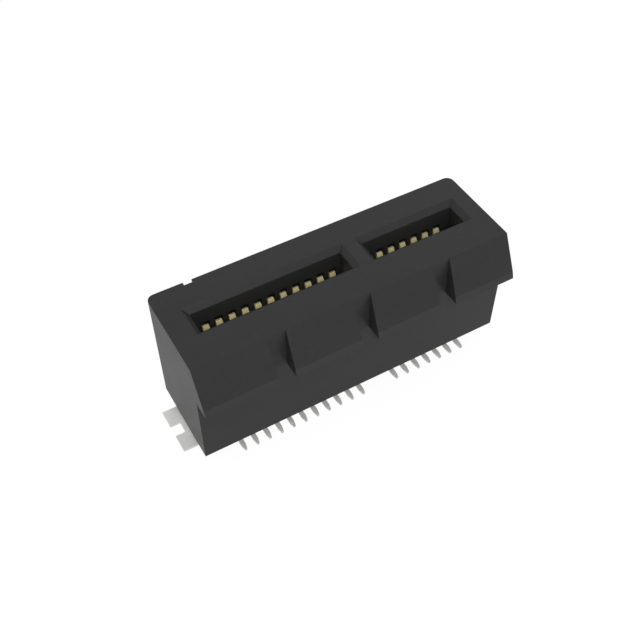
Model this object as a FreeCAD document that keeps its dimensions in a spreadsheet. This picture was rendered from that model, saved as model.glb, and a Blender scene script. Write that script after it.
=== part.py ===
import FreeCAD, Part
import Sketcher
import math
import os
import re

# Vertical surface-mount card edge connector, x1 size, in millimetres.
# X runs along the card slot, Y across it and Z up from the circuit board.
# The origin lies on the board, in the middle of the contact field.

# Driving sizes: name, value and what it is
SIZES = [
    ("pitch", 1.0, "contact spacing along the slot"),
    ("near_count", 11, "contacts in a row before the key"),
    ("far_count", 7, "contacts in a row after the key"),
    ("key_gap", 3.0, "spacing of the two contacts beside the key"),
    ("left_wall", 3.06, "moulding beyond the first contact"),
    ("right_wall", 2.7, "moulding beyond the last contact"),
    ("housing_top", 11.0, "top face above the board"),
    ("standoff", 1.4, "underside above the board"),
    ("back_reach", 3.41, "back wall from the middle of the slot"),
    ("front_reach", 3.92, "lower front wall from the middle of the slot"),
    ("top_reach", 3.71, "front edge of the top face from the middle of the slot"),
    ("shoulder_reach", 5.09, "foot of the sloping shoulder from the middle of the slot"),
    ("shoulder_height", 8.26, "foot of the sloping shoulder above the board"),
    ("lip_reach", 5.26, "lower lip of the shoulder from the middle of the slot"),
    ("lip_height", 7.73, "lower lip of the shoulder above the board"),
    ("corner_radius", 0.55, "upright back corners"),
    ("gap_count", 3, "gaps in the shoulder"),
    ("gap_spacing", 6.48, "spacing of the gaps"),
    ("gap_width", 1.44, "gap along the slot at the top face"),
    ("gap_foot", 1.26, "gap along the slot at the lip"),
    ("gap_overrun", 0.5, "cut of a gap beyond both faces of the shoulder"),
    ("slot_end", 1.02, "card slot beyond the outermost contacts"),
    ("slot_width", 1.76, "card slot across"),
    ("slot_floor", 3.0, "floor of the slot above the board"),
    ("key_width", 1.82, "key rib between the pockets"),
    ("lead_in", 0.4, "chamfer round both pockets"),
    ("cavity_width", 0.64, "cavity of one contact, along the slot"),
    ("web_width", 0.6, "web between the two rows of cavities"),
    ("spring_floor", 4.0, "height where a cavity widens for the spring"),
    ("spring_room", 1.85, "outer wall of the wide part from the middle"),
    ("tip_room", 0.45, "cavity above the end of a contact"),
    ("mark_width", 0.66, "notch that marks the first contact"),
    ("mark_depth", 0.27, "notch into the back wall"),
    ("mark_height", 0.6, "notch down from the top face"),
    ("boss_diameter", 1.2, "bosses that bear on the board"),
    ("boss_gap", 0.15, "end bosses from the hold-down blades"),
    ("boss_clearance", 0.05, "bosses above the board"),
    ("strip_thickness", 0.2, "contact strip"),
    ("beam_width", 0.54, "contact strip, spring beam"),
    ("contact_line", 1.47, "upright part of a contact from the middle"),
    ("lock_bottom", 1.9, "pressed-in part of a contact, lower end"),
    ("lock_top", 3.3, "pressed-in part of a contact, upper end"),
    ("lock_taper", 0.3, "narrowing at its upper end"),
    ("beam_root", 4.3, "height where the beam leans inwards"),
    ("root_radius", 0.8, "bend at the root of the beam"),
    ("crown_offset", 0.5, "contact crown from the middle"),
    ("crown_height", 7.75, "contact crown above the board"),
    ("crown_radius", 0.35, "bend at the crown"),
    ("tip_offset", 1.0, "end of the contact from the middle"),
    ("tip_height", 8.85, "end of the contact above the board"),
    ("tip_width", 0.44, "end of the contact across"),
    ("tip_taper", 0.5, "height over which the contact narrows to its end"),
    ("tail_height", 1.15, "height where the tail turns outwards"),
    ("tail_radius", 0.3, "bends in the tail"),
    ("foot_start", 2.76, "start of the flat solder foot from the middle"),
    ("foot_reach", 4.06, "end of the solder foot from the middle"),
    ("foot_width", 0.34, "solder foot across"),
    ("neck_length", 0.1, "full width left at the start of the foot"),
    ("point_length", 0.45, "tapered end of the solder foot"),
    ("point_width", 0.14, "its end"),
    ("tab_thickness", 0.2, "hold-down sheet"),
    ("tab_inset", 0.65, "hold-down blade inside the end of the moulding"),
    ("blade_width", 2.4, "hold-down blade across"),
    ("blade_top", 4.5, "hold-down blade above the board"),
    ("blade_taper", 0.35, "cut corners of the blade"),
    ("blade_clearance", 0.1, "slot above the blade"),
    ("tab_radius", 0.3, "bend between blade and foot"),
    ("tab_width", 3.84, "hold-down foot across"),
    ("web_reach", 0.12, "web of the foot beyond the moulding"),
    ("prong_reach", 0.9, "prongs beyond the moulding"),
    ("prong_gap", 1.0, "gap between the prongs"),
]

# Places worked out from the driving sizes
NEAR_START = "(-(pitch * (near_count + far_count - 2) + key_gap) / 2)"
KEY_CENTRE = f"({NEAR_START} + pitch * (near_count - 1) + key_gap / 2)"
FAR_START = f"({KEY_CENTRE} + key_gap / 2)"
FAR_END = f"({FAR_START} + pitch * (far_count - 1))"
LEFT_END = f"({NEAR_START} - left_wall)"
RIGHT_END = f"({FAR_END} + right_wall)"
MIDDLE = f"(({LEFT_END} + {RIGHT_END}) / 2)"
SLOT_LEFT = f"({NEAR_START} - slot_end)"
SLOT_RIGHT = f"({FAR_END} + slot_end)"
BOSS_INSET = "(tab_inset + tab_thickness / 2 + boss_gap + boss_diameter / 2)"
CAVITY_ROOF = "(tip_height + tip_room)"
STRIP_OUTER = "(contact_line + strip_thickness / 2)"

doc = FreeCAD.newDocument("CardEdgeConnector")
sheet = doc.addObject("Spreadsheet::Sheet", "Sizes")
for row, (name, size, note) in enumerate(SIZES, start=1):
    sheet.set(f"A{row}", str(size))
    sheet.setAlias(f"A{row}", name)
    sheet.set(f"B{row}", note)
doc.recompute()
NAMES = {name for name, size, note in SIZES}


def formula(text):
    """The expression with each size name pointed at its spreadsheet cell."""
    return re.sub(r"[a-z_]+", lambda word: f"Sizes.{word[0]}" if word[0] in NAMES else word[0], text)


def value(text):
    return float(sheet.evalExpression(formula(text)))


def bind(feature, prop, text):
    feature.setExpression(prop, formula(text))


def add_body(label):
    body = doc.addObject("PartDesign::Body", label)
    body.Label = label
    return body


def origin_part(body, role):
    return next(part for part in body.Origin.OriginFeatures if part.Role == role)


def add_sketch(body, name, plane, offset="0"):
    sketch = body.newObject("Sketcher::SketchObject", name)
    sketch.AttachmentSupport = (origin_part(body, plane), "")
    sketch.MapMode = "FlatFace"
    bind(sketch, "AttachmentOffset.Base.z", offset)
    return sketch


def pin_point(sketch, geometry, end, place):
    """Hold one point at a place given by two expressions."""
    for kind, text in zip(("DistanceX", "DistanceY"), place):
        index = sketch.addConstraint(Sketcher.Constraint(kind, -1, 1, geometry, end, value(text)))
        sketch.setExpression(f"Constraints[{index}]", formula(text))


def add_polygon(sketch, corners):
    """A closed outline through corners given by expressions."""
    points = [FreeCAD.Vector(value(across), value(up), 0) for across, up in corners]
    lines = []
    for start, stop in zip(points, points[1:] + points[:1]):
        lines.append(sketch.addGeometry(Part.LineSegment(start, stop), False))
    for line, following, corner in zip(lines, lines[1:] + lines[:1], corners):
        sketch.addConstraint(Sketcher.Constraint("Coincident", line, 2, following, 1))
        pin_point(sketch, line, 1, corner)


def add_rectangle(sketch, left, right, low, high):
    add_polygon(sketch, [(left, low), (right, low), (right, high), (left, high)])


def add_path(sketch, corners, radii):
    """Straight runs joined by tangent arcs, one arc at each inner corner."""
    points = [FreeCAD.Vector(value(across), value(up), 0) for across, up in corners]
    starts = [points[0]]
    stops = []
    arcs = []
    for before, corner, after, radius in zip(points, points[1:], points[2:], radii):
        backward = (before - corner).normalize()
        forward = (after - corner).normalize()
        half = backward.getAngle(forward) / 2
        size = value(radius)
        reach = size / math.tan(half)
        middle = corner + (backward + forward).normalize() * (size / math.sin(half))
        nearest = middle + (corner - middle).normalize() * size
        stops.append(corner + backward * reach)
        starts.append(corner + forward * reach)
        arcs.append(Part.Arc(stops[-1], nearest, starts[-1]))
    stops.append(points[-1])
    lines = [sketch.addGeometry(Part.LineSegment(*ends), False) for ends in zip(starts, stops)]
    pin_point(sketch, lines[0], 1, corners[0])
    pin_point(sketch, lines[-1], 2, corners[-1])
    for order, (arc, radius) in enumerate(zip(arcs, radii)):
        bend = sketch.addGeometry(arc, False)
        before, after = lines[order], lines[order + 1]
        first, last = (1, 2) if sketch.getPoint(bend, 1).isEqual(stops[order], 1e-6) else (2, 1)
        sketch.addConstraint(Sketcher.Constraint("Tangent", before, 2, bend, first))
        sketch.addConstraint(Sketcher.Constraint("Tangent", bend, last, after, 1))
        index = sketch.addConstraint(Sketcher.Constraint("Radius", bend, value(radius)))
        sketch.setExpression(f"Constraints[{index}]", formula(radius))
        mark = sketch.addGeometry(Part.Point(points[order + 1]), True)
        sketch.addConstraint(Sketcher.Constraint("PointOnObject", mark, 1, before))
        sketch.addConstraint(Sketcher.Constraint("PointOnObject", mark, 1, after))
        pin_point(sketch, mark, 1, corners[order + 1])


def add_feature(body, kind, name, sketch, length, symmetric=False, reverse=False):
    """A pad or a pocket of a sketch."""
    feature = body.newObject(f"PartDesign::{kind}", name)
    feature.Profile = sketch
    bind(feature, "Length", length)
    feature.SideType = "Symmetric" if symmetric else "One side"
    feature.Reversed = reverse
    doc.recompute()
    return feature


def add_row(body, name, original, count, spacing):
    """Copies of a feature along X."""
    row = body.newObject("PartDesign::LinearPattern", name)
    row.Originals = [original]
    row.Direction = (origin_part(body, "X_Axis"), [""])
    row.Mode = "Spacing"
    bind(row, "Occurrences", count)
    bind(row, "Offset", spacing)
    body.Tip = row
    doc.recompute()
    return row


def edges_where(feature, test):
    """Names of the edges of a feature whose two ends pass a test."""
    names = []
    for number, edge in enumerate(feature.Shape.Edges, start=1):
        if all(test(vertex.Point) for vertex in edge.Vertexes):
            names.append(f"Edge{number}")
    return names


def near(a, b):
    return abs(a - b) < 1e-4


# Moulded housing

def add_shoulder(body):
    """The sloping shoulder along the upper front, cut by drafted gaps in line with the contacts."""
    sketch = add_sketch(body, "ShoulderOutline", "YZ_Plane", MIDDLE)
    add_polygon(sketch, [
        ("-top_reach", "housing_top"),
        ("-shoulder_reach", "shoulder_height"),
        ("-lip_reach", "lip_height"),
        ("-top_reach", "lip_height"),
    ])
    add_feature(body, "Pad", "Shoulder", sketch, f"{RIGHT_END} - {LEFT_END}", symmetric=True)
    centre = "(-gap_spacing * (gap_count - 1) / 2)"
    sketch = add_sketch(body, "GapOutline", "XZ_Plane", "lip_reach + gap_overrun")
    add_polygon(sketch, [
        (f"{centre} - gap_foot / 2", "lip_height"),
        (f"{centre} + gap_foot / 2", "lip_height"),
        (f"{centre} + gap_width / 2", "housing_top"),
        (f"{centre} - gap_width / 2", "housing_top"),
    ])
    depth = "lip_reach - top_reach + 2 * gap_overrun"
    gap = add_feature(body, "Pocket", "Gap", sketch, depth)
    add_row(body, "Gaps", gap, "gap_count", "gap_spacing")


def add_block(body):
    """The main block, its front wall drafted behind the gaps."""
    sketch = add_sketch(body, "BlockOutline", "YZ_Plane", MIDDLE)
    add_polygon(sketch, [
        ("back_reach", "standoff"),
        ("back_reach", "housing_top"),
        ("-top_reach", "housing_top"),
        ("-front_reach", "lip_height"),
        ("-front_reach", "standoff"),
    ])
    block = add_feature(body, "Pad", "Block", sketch, f"{RIGHT_END} - {LEFT_END}", symmetric=True)
    back = value("back_reach")
    ends = (value(LEFT_END), value(RIGHT_END))
    corners = [edges_where(block, lambda p: near(p.y, back) and near(p.x, end)) for end in ends]
    rounding = body.newObject("PartDesign::Fillet", "BackCorners")
    rounding.Base = (block, sum(corners, []))
    bind(rounding, "Radius", "corner_radius")
    doc.recompute()


def add_slot(body):
    """Two card pockets either side of the key rib, with lead-in chamfers."""
    sketch = add_sketch(body, "SlotOutline", "XY_Plane", "housing_top")
    sides = ("-slot_width / 2", "slot_width / 2")
    add_rectangle(sketch, SLOT_LEFT, f"{KEY_CENTRE} - key_width / 2", *sides)
    add_rectangle(sketch, f"{KEY_CENTRE} + key_width / 2", SLOT_RIGHT, *sides)
    slot = add_feature(body, "Pocket", "CardSlot", sketch, "housing_top - slot_floor")
    top = value("housing_top")
    left = value(SLOT_LEFT) - 1e-4
    right = value(SLOT_RIGHT) + 1e-4
    side = value("slot_width / 2") + 1e-4
    chamfer = body.newObject("PartDesign::Chamfer", "LeadIn")
    chamfer.Base = (slot, edges_where(
        slot,
        lambda p: near(p.z, top) and abs(p.y) < side and left < p.x < right,
    ))
    bind(chamfer, "Size", "lead_in")
    doc.recompute()


def add_cavities(body):
    """One cavity for each contact, open below and into the slot."""
    groups = (("Near", NEAR_START, "near_count"), ("Far", FAR_START, "far_count"))
    for name, start, count in groups:
        sketch = add_sketch(body, f"{name}CavityOutline", "YZ_Plane", start)
        for side in ("", "-"):
            add_polygon(sketch, [
                (f"{side}web_width / 2", "standoff"),
                (f"{side}{STRIP_OUTER}", "standoff"),
                (f"{side}{STRIP_OUTER}", "spring_floor"),
                (f"{side}spring_room", "spring_floor"),
                (f"{side}spring_room", CAVITY_ROOF),
                (f"{side}web_width / 2", CAVITY_ROOF),
            ])
        cavity = add_feature(body, "Pocket", f"{name}Cavity", sketch, "cavity_width", symmetric=True)
        add_row(body, f"{name}Cavities", cavity, count, "pitch")


def add_blade_slots(body):
    """A slot in the underside at each end for a hold-down blade."""
    sketch = add_sketch(body, "BladeSlotOutline", "XY_Plane", "standoff")
    for middle in (f"({LEFT_END} + tab_inset)", f"({RIGHT_END} - tab_inset)"):
        add_rectangle(
            sketch,
            f"{middle} - tab_thickness / 2",
            f"{middle} + tab_thickness / 2",
            "-blade_width / 2",
            "blade_width / 2",
        )
    depth = "blade_top + blade_clearance - standoff"
    add_feature(body, "Pocket", "BladeSlots", sketch, depth, reverse=True)


def add_mark(body):
    """The notch in the back top edge beside the first contact."""
    sketch = add_sketch(body, "MarkOutline", "XY_Plane", "housing_top")
    edges = (f"{NEAR_START} - mark_width / 2", f"{NEAR_START} + mark_width / 2")
    add_rectangle(sketch, *edges, "back_reach - mark_depth", "back_reach")
    add_feature(body, "Pocket", "Mark", sketch, "mark_height")


def add_bosses(body):
    """Round bosses under the key and both ends that bear on the board."""
    sketch = add_sketch(body, "BossOutline", "XY_Plane", "standoff")
    for place in (f"{LEFT_END} + {BOSS_INSET}", KEY_CENTRE, f"{RIGHT_END} - {BOSS_INSET}"):
        centre = FreeCAD.Vector(value(place), 0, 0)
        size = value("boss_diameter / 2")
        circle = sketch.addGeometry(Part.Circle(centre, FreeCAD.Vector(0, 0, 1), size), False)
        pin_point(sketch, circle, 3, (place, "0"))
        index = sketch.addConstraint(Sketcher.Constraint("Radius", circle, size))
        sketch.setExpression(f"Constraints[{index}]", formula("boss_diameter / 2"))
    add_feature(body, "Pad", "Bosses", sketch, "standoff - boss_clearance", reverse=True)


def make_housing():
    body = add_body("housing")
    add_shoulder(body)
    add_block(body)
    add_slot(body)
    add_cavities(body)
    add_blade_slots(body)
    add_mark(body)
    add_bosses(body)
    return body


# Stamped and formed contact of the back row, in the plane X = 0

def make_contact(label):
    body = add_body(label)
    path = add_sketch(body, "StripPath", "YZ_Plane")
    add_path(path, [
        ("foot_reach", "strip_thickness / 2"),
        ("foot_start", "strip_thickness / 2"),
        ("contact_line", "tail_height"),
        ("contact_line", "beam_root"),
        ("crown_offset", "crown_height"),
        ("tip_offset", "tip_height"),
    ], ["tail_radius", "tail_radius", "root_radius", "crown_radius"])
    section = add_sketch(body, "StripSection", "XZ_Plane", "-foot_reach")
    add_rectangle(section, "-beam_width / 2", "beam_width / 2", "0", "strip_thickness")
    strip = body.newObject("PartDesign::AdditivePipe", "Strip")
    strip.Profile = section
    strip.Spine = (path, [])
    doc.recompute()

    lock = add_sketch(body, "LockOutline", "XZ_Plane", f"-{STRIP_OUTER}")
    add_polygon(lock, [
        ("-cavity_width / 2", "lock_bottom"),
        ("cavity_width / 2", "lock_bottom"),
        ("cavity_width / 2", "lock_top - lock_taper"),
        ("beam_width / 2", "lock_top"),
        ("-beam_width / 2", "lock_top"),
        ("-cavity_width / 2", "lock_top - lock_taper"),
    ])
    add_feature(body, "Pad", "Lock", lock, "strip_thickness")

    trim = add_sketch(body, "FootTrim", "XY_Plane")
    for side in ("", "-"):
        add_polygon(trim, [
            (f"{side}beam_width", "foot_start + neck_length"),
            (f"{side}foot_width / 2", "foot_start + neck_length"),
            (f"{side}foot_width / 2", "foot_reach - point_length"),
            (f"{side}point_width / 2", "foot_reach"),
            (f"{side}beam_width", "foot_reach"),
        ])
    add_feature(body, "Pocket", "FootPoint", trim, "strip_thickness", reverse=True)

    taper = add_sketch(body, "TipTrim", "XZ_Plane")
    for side in ("", "-"):
        add_polygon(taper, [
            (f"{side}beam_width / 2", "tip_height - tip_taper"),
            (f"{side}beam_width", "tip_height - tip_taper"),
            (f"{side}beam_width", "tip_height + strip_thickness"),
            (f"{side}tip_width / 2", "tip_height + strip_thickness"),
            (f"{side}tip_width / 2", "tip_height"),
        ])
    depth = "2 * (tip_offset + strip_thickness)"
    add_feature(body, "Pocket", "TipTaper", taper, depth, symmetric=True)
    return body


# Stamped hold-down of the right end, its blade in the plane X = 0

def make_hold_down(label):
    body = add_body(label)
    path = add_sketch(body, "SheetPath", "XZ_Plane")
    add_path(path, [
        ("0", "blade_top"),
        ("0", "tab_thickness / 2"),
        ("tab_inset + web_reach", "tab_thickness / 2"),
    ], ["tab_radius"])
    section = add_sketch(body, "SheetSection", "XY_Plane", "blade_top")
    add_rectangle(
        section,
        "-tab_thickness / 2",
        "tab_thickness / 2",
        "-blade_width / 2",
        "blade_width / 2",
    )
    sheet_metal = body.newObject("PartDesign::AdditivePipe", "Sheet")
    sheet_metal.Profile = section
    sheet_metal.Spine = (path, [])
    doc.recompute()

    foot = add_sketch(body, "FootOutline", "XY_Plane")
    add_polygon(foot, [
        ("tab_radius", "-tab_width / 2"),
        ("tab_inset + prong_reach", "-tab_width / 2"),
        ("tab_inset + prong_reach", "-prong_gap / 2"),
        ("tab_inset + web_reach", "-prong_gap / 2"),
        ("tab_inset + web_reach", "prong_gap / 2"),
        ("tab_inset + prong_reach", "prong_gap / 2"),
        ("tab_inset + prong_reach", "tab_width / 2"),
        ("tab_radius", "tab_width / 2"),
    ])
    add_feature(body, "Pad", "Foot", foot, "tab_thickness")

    corners = add_sketch(body, "BladeCorners", "YZ_Plane")
    for side in ("", "-"):
        add_polygon(corners, [
            (f"{side}blade_width / 2", "blade_top"),
            (f"{side}blade_width / 2", "blade_top - 3 * blade_taper"),
            (f"{side}(blade_width / 2 - blade_taper)", "blade_top"),
        ])
    add_feature(body, "Pocket", "BladeTaper", corners, "2 * tab_thickness", symmetric=True)
    return body


def place(body, along, turned):
    """Put a body along X, turned half a turn about Z or not."""
    body.Placement.Rotation = FreeCAD.Rotation(FreeCAD.Vector(0, 0, 1), 180 if turned else 0)
    bind(body, "Placement.Base.x", along)


def clone(original, label):
    body = doc.addObject("PartDesign::Body", label)
    body.Label = label
    copy = doc.addObject("PartDesign::FeatureBase", f"{label}_copy")
    body.Group = [copy]
    copy.BaseFeature = original
    body.Tip = copy
    return body


def contact_places():
    """The place along X of each contact of a row, as expressions."""
    near_places = [f"{NEAR_START} + pitch * {step}" for step in range(int(value("near_count")))]
    far_places = [f"{FAR_START} + pitch * {step}" for step in range(int(value("far_count")))]
    return near_places + far_places


pieces = [make_housing()]
contact = None
for row, turned in (("back", False), ("front", True)):
    for number, along in enumerate(contact_places(), start=1):
        label = f"{row}_contact_{number:02d}"
        body = clone(contact, label) if contact else make_contact(label)
        contact = contact or body
        place(body, along, turned)
        pieces.append(body)
right = make_hold_down("right_hold_down")
left = clone(right, "left_hold_down")
place(right, f"{RIGHT_END} - tab_inset", False)
place(left, f"{LEFT_END} + tab_inset", True)
pieces += [right, left]
doc.recompute()

for item in doc.Objects:
    if {"Invalid", "Error"} & set(item.State):
        raise RuntimeError(f"{item.Label} did not build: {item.State}")
for piece in pieces:
    shape = piece.Shape
    if shape.isNull() or not shape.isValid() or len(shape.Solids) != 1:
        raise RuntimeError(f"{piece.Label} is not one valid solid")

os.makedirs("parts", exist_ok=True)
for piece in pieces:
    piece.Shape.exportStep(f"parts/{piece.Label}.step")
    print(piece.Label, round(piece.Shape.Volume, 4))
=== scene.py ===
import math

import bpy
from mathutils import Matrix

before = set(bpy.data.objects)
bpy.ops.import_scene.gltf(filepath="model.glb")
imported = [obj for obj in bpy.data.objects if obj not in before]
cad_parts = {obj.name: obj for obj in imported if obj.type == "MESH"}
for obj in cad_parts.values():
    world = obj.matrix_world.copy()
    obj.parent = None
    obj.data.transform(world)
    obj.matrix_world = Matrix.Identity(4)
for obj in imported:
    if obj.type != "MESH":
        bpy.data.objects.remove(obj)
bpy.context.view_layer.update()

bl_info = {
    "name": "Card edge connector",
    "version": (1, 0, 0),
    "blender": (4, 5, 0),
    "location": "3D View > Sidebar > Connector",
    "description": "Finishes a surface-mount card edge connector and sets its studio stage",
    "category": "Object",
}

HOUSING = "housing"
CONTACTS = sorted(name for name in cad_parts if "_contact_" in name)
HOLD_DOWNS = sorted(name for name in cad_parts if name.endswith("_hold_down"))

# Millimetres in a metre and micrometres in a millimetre
MILLIMETRES = 1000.0
MICROMETRES = 1000.0

# A Mix node has sockets of one name for numbers, vectors and colours: these are the colours'
MIX_FIRST = 6
MIX_SECOND = 7
MIX_RESULT = 2

# The floor lies this far under the solder feet, in metres, so that no faces coincide
FLOOR_GAP = 0.00002

# Width of the camera's sensor in millimetres, and the nearest that it sees, in metres
SENSOR_WIDTH = 36.0
NEAREST_VIEW = 0.001

# The sky's colour. The camera sees the floor's white brighter than that by the reserve, which
# makes up for its share of shadow.
WHITE = (1.0, 1.0, 1.0, 1.0)
WHITE_RESERVE = 0.08

# Cells to the millimetre of the random patterns
FLOW_CELLS = 0.5
GRAIN_CELLS = 9.0
SPECK_CELLS = 3.5
PLATE_CELLS = 2.2
ROLLED_CELLS = 14.0
TIN_CELLS = 1.6
CRYSTAL_CELLS = 12.0

# Stretch of a pattern: the melt flows along the slot, the strip is rolled along its length
ALONG_THE_SLOT = (0.35, 1.0, 1.0)
ALONG_THE_STRIP = (1.0, 0.12, 0.12)

# Darkest and palest shade of a colour, as factors of it, and single shades
FLOW_SHADES = (0.88, 1.12)
PLATE_SHADES = (0.92, 1.05)
SHEET_SHADES = (0.92, 1.04)
# Painted light: how much paler the lip's outermost face is painted, standing in for the light that
# face catches
PAINTED_LIP_LIGHT = 1.7
SPECK_SHADE = 1.5

# How far the roughness drifts either way, on the plastic with its flow and on the sheet in clouds
FLOW_DRIFT = 0.03
CLOUD_DRIFT = 0.05

# What the finest patterns and the cut sides add to the roughness
GRAIN_ROUGHNESS = 0.04
ROLLED_ROUGHNESS = 0.1
CRYSTAL_ROUGHNESS = 0.06
SHEARED_ROUGHNESS = 0.1

# How much smoother and more metallic the gold is than the tin
GOLD_SMOOTHNESS = 0.05
GOLD_METALLIC = 0.08

# How far the colour of the cut sides covers the gold and the tinned sheet
SHEARED_GOLD = 0.7
SHEARED_SHEET = 0.08

# Where the noise is high enough to make a speck of filler, and how plainly it shows
SPECK_LEVELS = (0.62, 0.74)
SPECK_STRENGTH = 0.3

# Half the width over which the lip's painted lighter face begins, in millimetres
LIP_FADE = 0.02

# How far a face looks along an axis, from which on it counts as a side or as flat
SIDE_LEVELS = (0.6, 0.8)
FLAT_LEVELS = (0.5, 0.8)

# Height over which the gold fades into the tin, and how wavy that line is, in millimetres
PLATING_FADE = 0.25
PLATING_WAVE = 0.3

# Depth of the relief on the metal, in millimetres
ROLLED_DEPTH = 0.002
CRYSTAL_DEPTH = 0.0015


class Value:
    """A number in a shader, worked out by Math nodes from Python sums."""

    def __init__(self, finish, socket):
        self.finish = finish
        self.socket = socket

    def combine(self, operation, first, second):
        """A Math node on two numbers."""
        return self.finish.node("ShaderNodeMath", {"operation": operation}, {0: first, 1: second})

    def __add__(self, other):
        return self.combine("ADD", self, other)

    def __sub__(self, other):
        return self.combine("SUBTRACT", self, other)

    def __rsub__(self, other):
        return self.combine("SUBTRACT", other, self)

    def __mul__(self, other):
        return self.combine("MULTIPLY", self, other)

    __radd__ = __add__
    __rmul__ = __mul__

    def size(self):
        """The number without its sign."""
        return self.finish.node("ShaderNodeMath", {"operation": "ABSOLUTE"}, {0: self})

    def step(self, low, high):
        """0 below low, 1 above high and smooth between."""
        settings = {"interpolation_type": "SMOOTHSTEP"}
        inputs = {"Value": self, "From Min": low, "From Max": high}
        return self.finish.node("ShaderNodeMapRange", settings, inputs)

    def spread(self, low, high):
        """0 to 1 taken to low to high."""
        inputs = {"Value": self, "To Min": low, "To Max": high}
        return self.finish.node("ShaderNodeMapRange", {}, inputs)


class Finish:
    """The node tree of a material or a world."""

    def __init__(self, owner):
        self.owner = owner
        owner.use_nodes = True
        self.tree = owner.node_tree
        self.tree.nodes.clear()

    def node(self, kind, settings, inputs, output=0):
        """One node: its settings first, then its sockets. Gives one of its outputs, if any."""
        made = self.tree.nodes.new(kind)
        for name, setting in settings.items():
            setattr(made, name, setting)
        for name, given in inputs.items():
            if isinstance(given, Value):
                self.tree.links.new(given.socket, made.inputs[name])
            else:
                made.inputs[name].default_value = given
        return Value(self, made.outputs[output]) if made.outputs else None

    def place(self, scale=(1.0, 1.0, 1.0)):
        """Where a point is on the piece, in millimetres, stretched by scale."""
        spot = self.node("ShaderNodeTexCoord", {}, {}, "Object")
        inputs = {"Vector": spot, "Scale": [MILLIMETRES * factor for factor in scale]}
        return self.node("ShaderNodeMapping", {}, inputs)

    def along(self, axis):
        """Where a point is along an axis of the piece, in millimetres."""
        return self.node("ShaderNodeSeparateXYZ", {}, {"Vector": self.place()}, axis)

    def facing(self, axis):
        """How far a face looks along an axis of the piece."""
        normal = self.node("ShaderNodeTexCoord", {}, {}, "Normal")
        return self.node("ShaderNodeSeparateXYZ", {}, {"Vector": normal}, axis)

    def noise(self, scale, detail=2.0, stretch=(1.0, 1.0, 1.0)):
        """Soft random mottling with scale cells to the millimetre."""
        inputs = {"Vector": self.place(stretch), "Scale": scale, "Detail": detail}
        return self.node("ShaderNodeTexNoise", {}, inputs, "Fac")

    def mix(self, factor, first, second):
        """A colour between two others."""
        inputs = {"Factor": factor, MIX_FIRST: first, MIX_SECOND: second}
        return self.node("ShaderNodeMix", {"data_type": "RGBA"}, inputs, MIX_RESULT)

    def shades(self, factor, colour, darkest, palest):
        """A colour that varies between two shades of itself."""
        return self.mix(factor, shaded(colour, darkest), shaded(colour, palest))

    def bump(self, height, distance):
        """Relief from a height of 0 to 1, distance deep in millimetres."""
        inputs = {"Height": height, "Distance": distance / MILLIMETRES, "Strength": 1.0}
        return self.node("ShaderNodeBump", {}, inputs, "Normal")

    def surface(self, shader):
        """Shows a shader on the material's surface."""
        self.node("ShaderNodeOutputMaterial", {}, {"Surface": shader})


def opaque(colour):
    """A colour that nothing shows through."""
    return (*colour, 1.0)


def shaded(colour, factor):
    """A colour made paler or darker."""
    return opaque(min(1.0, part * factor) for part in colour)


def give(names, material):
    """Puts a material on all of the named nodes."""
    for name in names:
        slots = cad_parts[name].data.materials
        slots.clear()
        slots.append(material)


class MouldedPlastic(bpy.types.PropertyGroup):
    colour: bpy.props.FloatVectorProperty(
        name="Colour", description="Colour of the housing plastic",
        subtype="COLOR", size=3, min=0.0, max=1.0, default=(0.0262, 0.0262, 0.0267),
    )
    roughness: bpy.props.FloatProperty(
        name="Roughness", description="Roughness of the moulded faces",
        subtype="FACTOR", min=0.0, max=1.0, default=0.36,
    )
    refraction: bpy.props.FloatProperty(
        name="Refractive index", description="Strength of the plastic's gloss",
        min=1.0, max=2.0, default=1.27,
    )
    grain: bpy.props.FloatProperty(
        name="Grain depth", description="Depth of the mould's fine grain, in micrometres",
        min=0.0, max=20.0, default=0.8,
    )
    # Painted light: how far the lip's outermost face is painted paler, standing in for the light
    # it catches
    painted_lip_light: bpy.props.FloatProperty(
        name="Painted lip light", description="How far the outermost face of the lip is rubbed pale",
        subtype="FACTOR", min=0.0, max=1.0, default=0.5,
    )
    lip: bpy.props.FloatProperty(
        name="Lip",
        description="From the middle of the slot to the lip's upper edge, in millimetres",
        min=0.0, max=10.0, default=5.09,
    )


class PlatedMetal(bpy.types.PropertyGroup):
    gold: bpy.props.FloatVectorProperty(
        name="Gold", description="Colour of the plated spring ends",
        subtype="COLOR", size=3, min=0.0, max=1.0, default=(1.0, 0.87, 0.48),
    )
    edge: bpy.props.FloatVectorProperty(
        name="Sheared edge", description="Colour of the cut sides of the strip",
        subtype="COLOR", size=3, min=0.0, max=1.0, default=(0.66, 0.50, 0.27),
    )
    tin: bpy.props.FloatVectorProperty(
        name="Tin", description="Colour of the tinned feet and hold-downs",
        subtype="COLOR", size=3, min=0.0, max=1.0, default=(0.78, 0.78, 0.765),
    )
    gold_line: bpy.props.FloatProperty(
        name="Gold line", description="Height where the gold begins, in millimetres",
        min=0.0, max=10.0, default=3.6,
    )
    roughness: bpy.props.FloatProperty(
        name="Roughness", description="Roughness of the tin plate",
        subtype="FACTOR", min=0.0, max=1.0, default=0.42,
    )
    metallic: bpy.props.FloatProperty(
        name="Metallic", description="How metallic the tin plate shines",
        subtype="FACTOR", min=0.0, max=1.0, default=0.3,
    )


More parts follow.
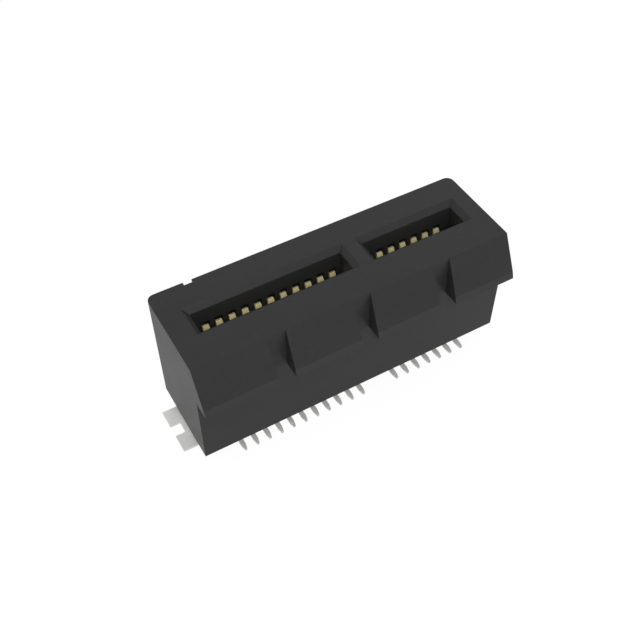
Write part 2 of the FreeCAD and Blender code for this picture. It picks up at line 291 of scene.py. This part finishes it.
class StudioStage(bpy.types.PropertyGroup):
    camera_place: bpy.props.FloatVectorProperty(
        name="Camera", description="Place of the camera",
        subtype="TRANSLATION", unit="LENGTH", size=3, default=(-0.023147, -0.038299, 0.056720),
    )
    camera_turn: bpy.props.FloatProperty(
        name="Azimuth", description="Turn of the camera about the vertical",
        subtype="ANGLE", default=math.radians(-30.0),
    )
    camera_pitch: bpy.props.FloatProperty(
        name="Pitch", description="Angle of the camera below the horizontal",
        subtype="ANGLE", default=math.radians(49.218),
    )
    lens: bpy.props.FloatProperty(
        name="Focal length", description="Focal length in millimetres",
        min=10.0, max=300.0, default=51.93,
    )
    floor_colour: bpy.props.FloatVectorProperty(
        name="Floor", description="Colour of the floor",
        subtype="COLOR", size=3, min=0.0, max=1.0, default=(0.74, 0.74, 0.74),
    )
    floor_size: bpy.props.FloatProperty(
        name="Floor size", description="Length of a side of the floor",
        subtype="DISTANCE", default=1.2,
    )
    sky: bpy.props.FloatProperty(
        name="Sky", description="Strength of the light from all round",
        min=0.0, max=2.0, default=0.65,
    )
    key_power: bpy.props.FloatProperty(
        name="Key light", description="Power of the soft lamp, in watts",
        min=0.0, max=10.0, default=0.24,
    )
    key_place: bpy.props.FloatVectorProperty(
        name="Key light place", description="Place of the soft lamp, which looks at the origin",
        subtype="TRANSLATION", unit="LENGTH", size=3, default=(-0.05, -0.15, 0.19),
    )
    key_size: bpy.props.FloatProperty(
        name="Key light size", description="Diameter of the soft lamp",
        subtype="DISTANCE", default=0.06,
    )
    glow: bpy.props.FloatProperty(
        name="Floor glow", description="How plainly the camera sees the floor white, past shadows",
        subtype="FACTOR", min=0.0, max=1.0, default=0.85,
    )
    mirrored_glow: bpy.props.FloatProperty(
        name="Mirrored floor glow", description="How far the floor is plain white in reflections",
        subtype="FACTOR", min=0.0, max=1.0, default=0.3,
    )


class CONNECTOR_OT_housing(bpy.types.Operator):
    """Black moulded plastic for the housing"""

    bl_idname = "connector.housing"
    bl_label = "Finish housing"

    def execute(self, context):
        plastic = context.scene.connector_plastic
        finish = Finish(bpy.data.materials.new("moulded_plastic"))
        flow = finish.noise(FLOW_CELLS, detail=3.0, stretch=ALONG_THE_SLOT)
        grain = finish.noise(GRAIN_CELLS)
        speck = finish.noise(SPECK_CELLS, detail=1.0).step(*SPECK_LEVELS)
        # Painted light: past the lip's edge, the outermost face is painted paler, standing in for
        # the light it catches
        painted = (0 - finish.along("Y")).step(plastic.lip - LIP_FADE, plastic.lip + LIP_FADE)
        shade = finish.shades(flow, plastic.colour, *FLOW_SHADES)
        shade = finish.mix(painted * plastic.painted_lip_light, shade, shaded(plastic.colour, PAINTED_LIP_LIGHT))
        shade = finish.mix(speck * SPECK_STRENGTH, shade, shaded(plastic.colour, SPECK_SHADE))
        drift = flow.spread(-FLOW_DRIFT, FLOW_DRIFT)
        shader = finish.node("ShaderNodeBsdfPrincipled", {}, {
            "Base Color": shade,
            "Roughness": drift + grain * GRAIN_ROUGHNESS + plastic.roughness,
            "IOR": plastic.refraction,
            "Normal": finish.bump(grain, plastic.grain / MICROMETRES),
        })
        finish.surface(shader)
        give([HOUSING], finish.owner)
        return {"FINISHED"}


class CONNECTOR_OT_contacts(bpy.types.Operator):
    """Gold on the spring ends of the contacts and tin on their feet"""

    bl_idname = "connector.contacts"
    bl_label = "Finish contacts"

    def execute(self, context):
        metal = context.scene.connector_metal
        finish = Finish(bpy.data.materials.new("plated_contact"))
        cloud = finish.noise(PLATE_CELLS, detail=3.0)
        rolled = finish.noise(ROLLED_CELLS, stretch=ALONG_THE_STRIP)
        height = finish.along("Z") + cloud * PLATING_WAVE
        golden = height.step(metal.gold_line, metal.gold_line + PLATING_FADE)
        sheared = finish.facing("X").size().step(*SIDE_LEVELS)
        gold = finish.shades(cloud, metal.gold, *PLATE_SHADES)
        tin = finish.shades(cloud, metal.tin, *PLATE_SHADES)
        plated = finish.mix(golden, tin, gold)
        plated = finish.mix(sheared * golden * SHEARED_GOLD, plated, opaque(metal.edge))
        rougher = rolled * ROLLED_ROUGHNESS + sheared * SHEARED_ROUGHNESS
        shader = finish.node("ShaderNodeBsdfPrincipled", {}, {
            "Base Color": plated,
            "Metallic": golden * GOLD_METALLIC + metal.metallic,
            "Roughness": rougher - golden * GOLD_SMOOTHNESS + metal.roughness,
            "Normal": finish.bump(rolled, ROLLED_DEPTH),
        })
        finish.surface(shader)
        give(CONTACTS, finish.owner)
        return {"FINISHED"}


class CONNECTOR_OT_hold_downs(bpy.types.Operator):
    """Matte tin for the stamped hold-downs"""

    bl_idname = "connector.hold_downs"
    bl_label = "Finish hold-downs"

    def execute(self, context):
        metal = context.scene.connector_metal
        finish = Finish(bpy.data.materials.new("tinned_sheet"))
        cloud = finish.noise(TIN_CELLS, detail=4.0)
        crystal = finish.noise(CRYSTAL_CELLS)
        sheared = 1 - finish.facing("Z").size().step(*FLAT_LEVELS)
        tin = finish.shades(cloud, metal.tin, *SHEET_SHADES)
        tin = finish.mix(sheared * SHEARED_SHEET, tin, opaque(metal.edge))
        drift = cloud.spread(-CLOUD_DRIFT, CLOUD_DRIFT)
        shader = finish.node("ShaderNodeBsdfPrincipled", {}, {
            "Base Color": tin,
            "Metallic": metal.metallic,
            "Roughness": drift + crystal * CRYSTAL_ROUGHNESS + metal.roughness,
            "Normal": finish.bump(crystal, CRYSTAL_DEPTH),
        })
        finish.surface(shader)
        give(HOLD_DOWNS, finish.owner)
        return {"FINISHED"}


class CONNECTOR_OT_stage(bpy.types.Operator):
    """The pale floor, the soft light and the camera"""

    bl_idname = "connector.stage"
    bl_label = "Set stage"

    def execute(self, context):
        stage = context.scene.connector_stage
        bpy.ops.object.select_all(action="DESELECT")
        self.add_floor(context, stage)
        self.add_light(context, stage)
        self.add_camera(context, stage)
        context.scene.view_settings.view_transform = "Standard"
        return {"FINISHED"}

    def seen(self, finish):
        """Three masks: what the camera sees straight, mirrored and through something clear."""
        names = ("Is Camera Ray", "Is Glossy Ray", "Is Transmission Ray")
        return [finish.node("ShaderNodeLightPath", {}, {}, name) for name in names]

    def add_floor(self, context, stage):
        under = (0.0, 0.0, -FLOOR_GAP)
        bpy.ops.mesh.primitive_plane_add(size=stage.floor_size, location=under)
        floor = context.active_object
        floor.name = "floor"
        finish = Finish(bpy.data.materials.new("pale_floor"))
        camera, glossy, through = self.seen(finish)
        lit = finish.node("ShaderNodeBsdfDiffuse", {}, {"Color": opaque(stage.floor_colour)})
        glow = finish.node("ShaderNodeEmission", {}, {"Strength": camera * WHITE_RESERVE + 1.0})
        factor = (camera + through) * stage.glow + glossy * stage.mirrored_glow
        finish.surface(finish.node("ShaderNodeMixShader", {}, {0: factor, 1: lit, 2: glow}))
        floor.data.materials.append(finish.owner)

    def add_light(self, context, stage):
        world = bpy.data.worlds.new("studio")
        context.scene.world = world
        finish = Finish(world)
        camera, glossy, through = self.seen(finish)
        strength = (camera + glossy + through) * (1 - stage.sky) + stage.sky
        sky = finish.node("ShaderNodeBackground", {}, {"Color": WHITE, "Strength": strength})
        finish.node("ShaderNodeOutputWorld", {}, {"Surface": sky})
        lamp = bpy.data.lights.new("key_light", "AREA")
        lamp.shape = "DISK"
        lamp.size = stage.key_size
        lamp.energy = stage.key_power
        key = bpy.data.objects.new("key_light", lamp)
        context.scene.collection.objects.link(key)
        key.location = stage.key_place
        key.rotation_euler = (-key.location).to_track_quat("-Z", "Y").to_euler()

    def add_camera(self, context, stage):
        view = bpy.data.cameras.new("camera")
        view.lens = stage.lens
        view.sensor_width = SENSOR_WIDTH
        view.clip_start = NEAREST_VIEW
        camera = bpy.data.objects.new("camera", view)
        context.scene.collection.objects.link(camera)
        camera.location = stage.camera_place
        camera.rotation_euler = (math.radians(90.0) - stage.camera_pitch, 0.0, stage.camera_turn)
        context.scene.camera = camera


class CONNECTOR_PT_panel(bpy.types.Panel):
    """The connector's sizes, colours and steps"""

    bl_idname = "CONNECTOR_PT_panel"
    bl_label = "Card edge connector"
    bl_space_type = "VIEW_3D"
    bl_region_type = "UI"
    bl_category = "Connector"

    def draw(self, context):
        for group, steps in STEPS.items():
            box = self.layout.box()
            settings = getattr(context.scene, group)
            for name in settings.bl_rna.properties.keys():
                if name not in {"rna_type", "name"}:
                    box.prop(settings, name)
            for step in steps:
                box.operator(step.bl_idname)


GROUPS = {
    "connector_plastic": MouldedPlastic,
    "connector_metal": PlatedMetal,
    "connector_stage": StudioStage,
}
STEPS = {
    "connector_plastic": [CONNECTOR_OT_housing],
    "connector_metal": [CONNECTOR_OT_contacts, CONNECTOR_OT_hold_downs],
    "connector_stage": [CONNECTOR_OT_stage],
}
CLASSES = [*GROUPS.values(), *sum(STEPS.values(), []), CONNECTOR_PT_panel]


def register():
    for listed in CLASSES:
        bpy.utils.register_class(listed)
    for name, group in GROUPS.items():
        setattr(bpy.types.Scene, name, bpy.props.PointerProperty(type=group))


def unregister():
    for name in GROUPS:
        delattr(bpy.types.Scene, name)
    for listed in reversed(CLASSES):
        bpy.utils.unregister_class(listed)


def main():
    register()
    bpy.ops.connector.housing()
    bpy.ops.connector.contacts()
    bpy.ops.connector.hold_downs()
    bpy.ops.connector.stage()


if __name__ == "__main__":
    main()
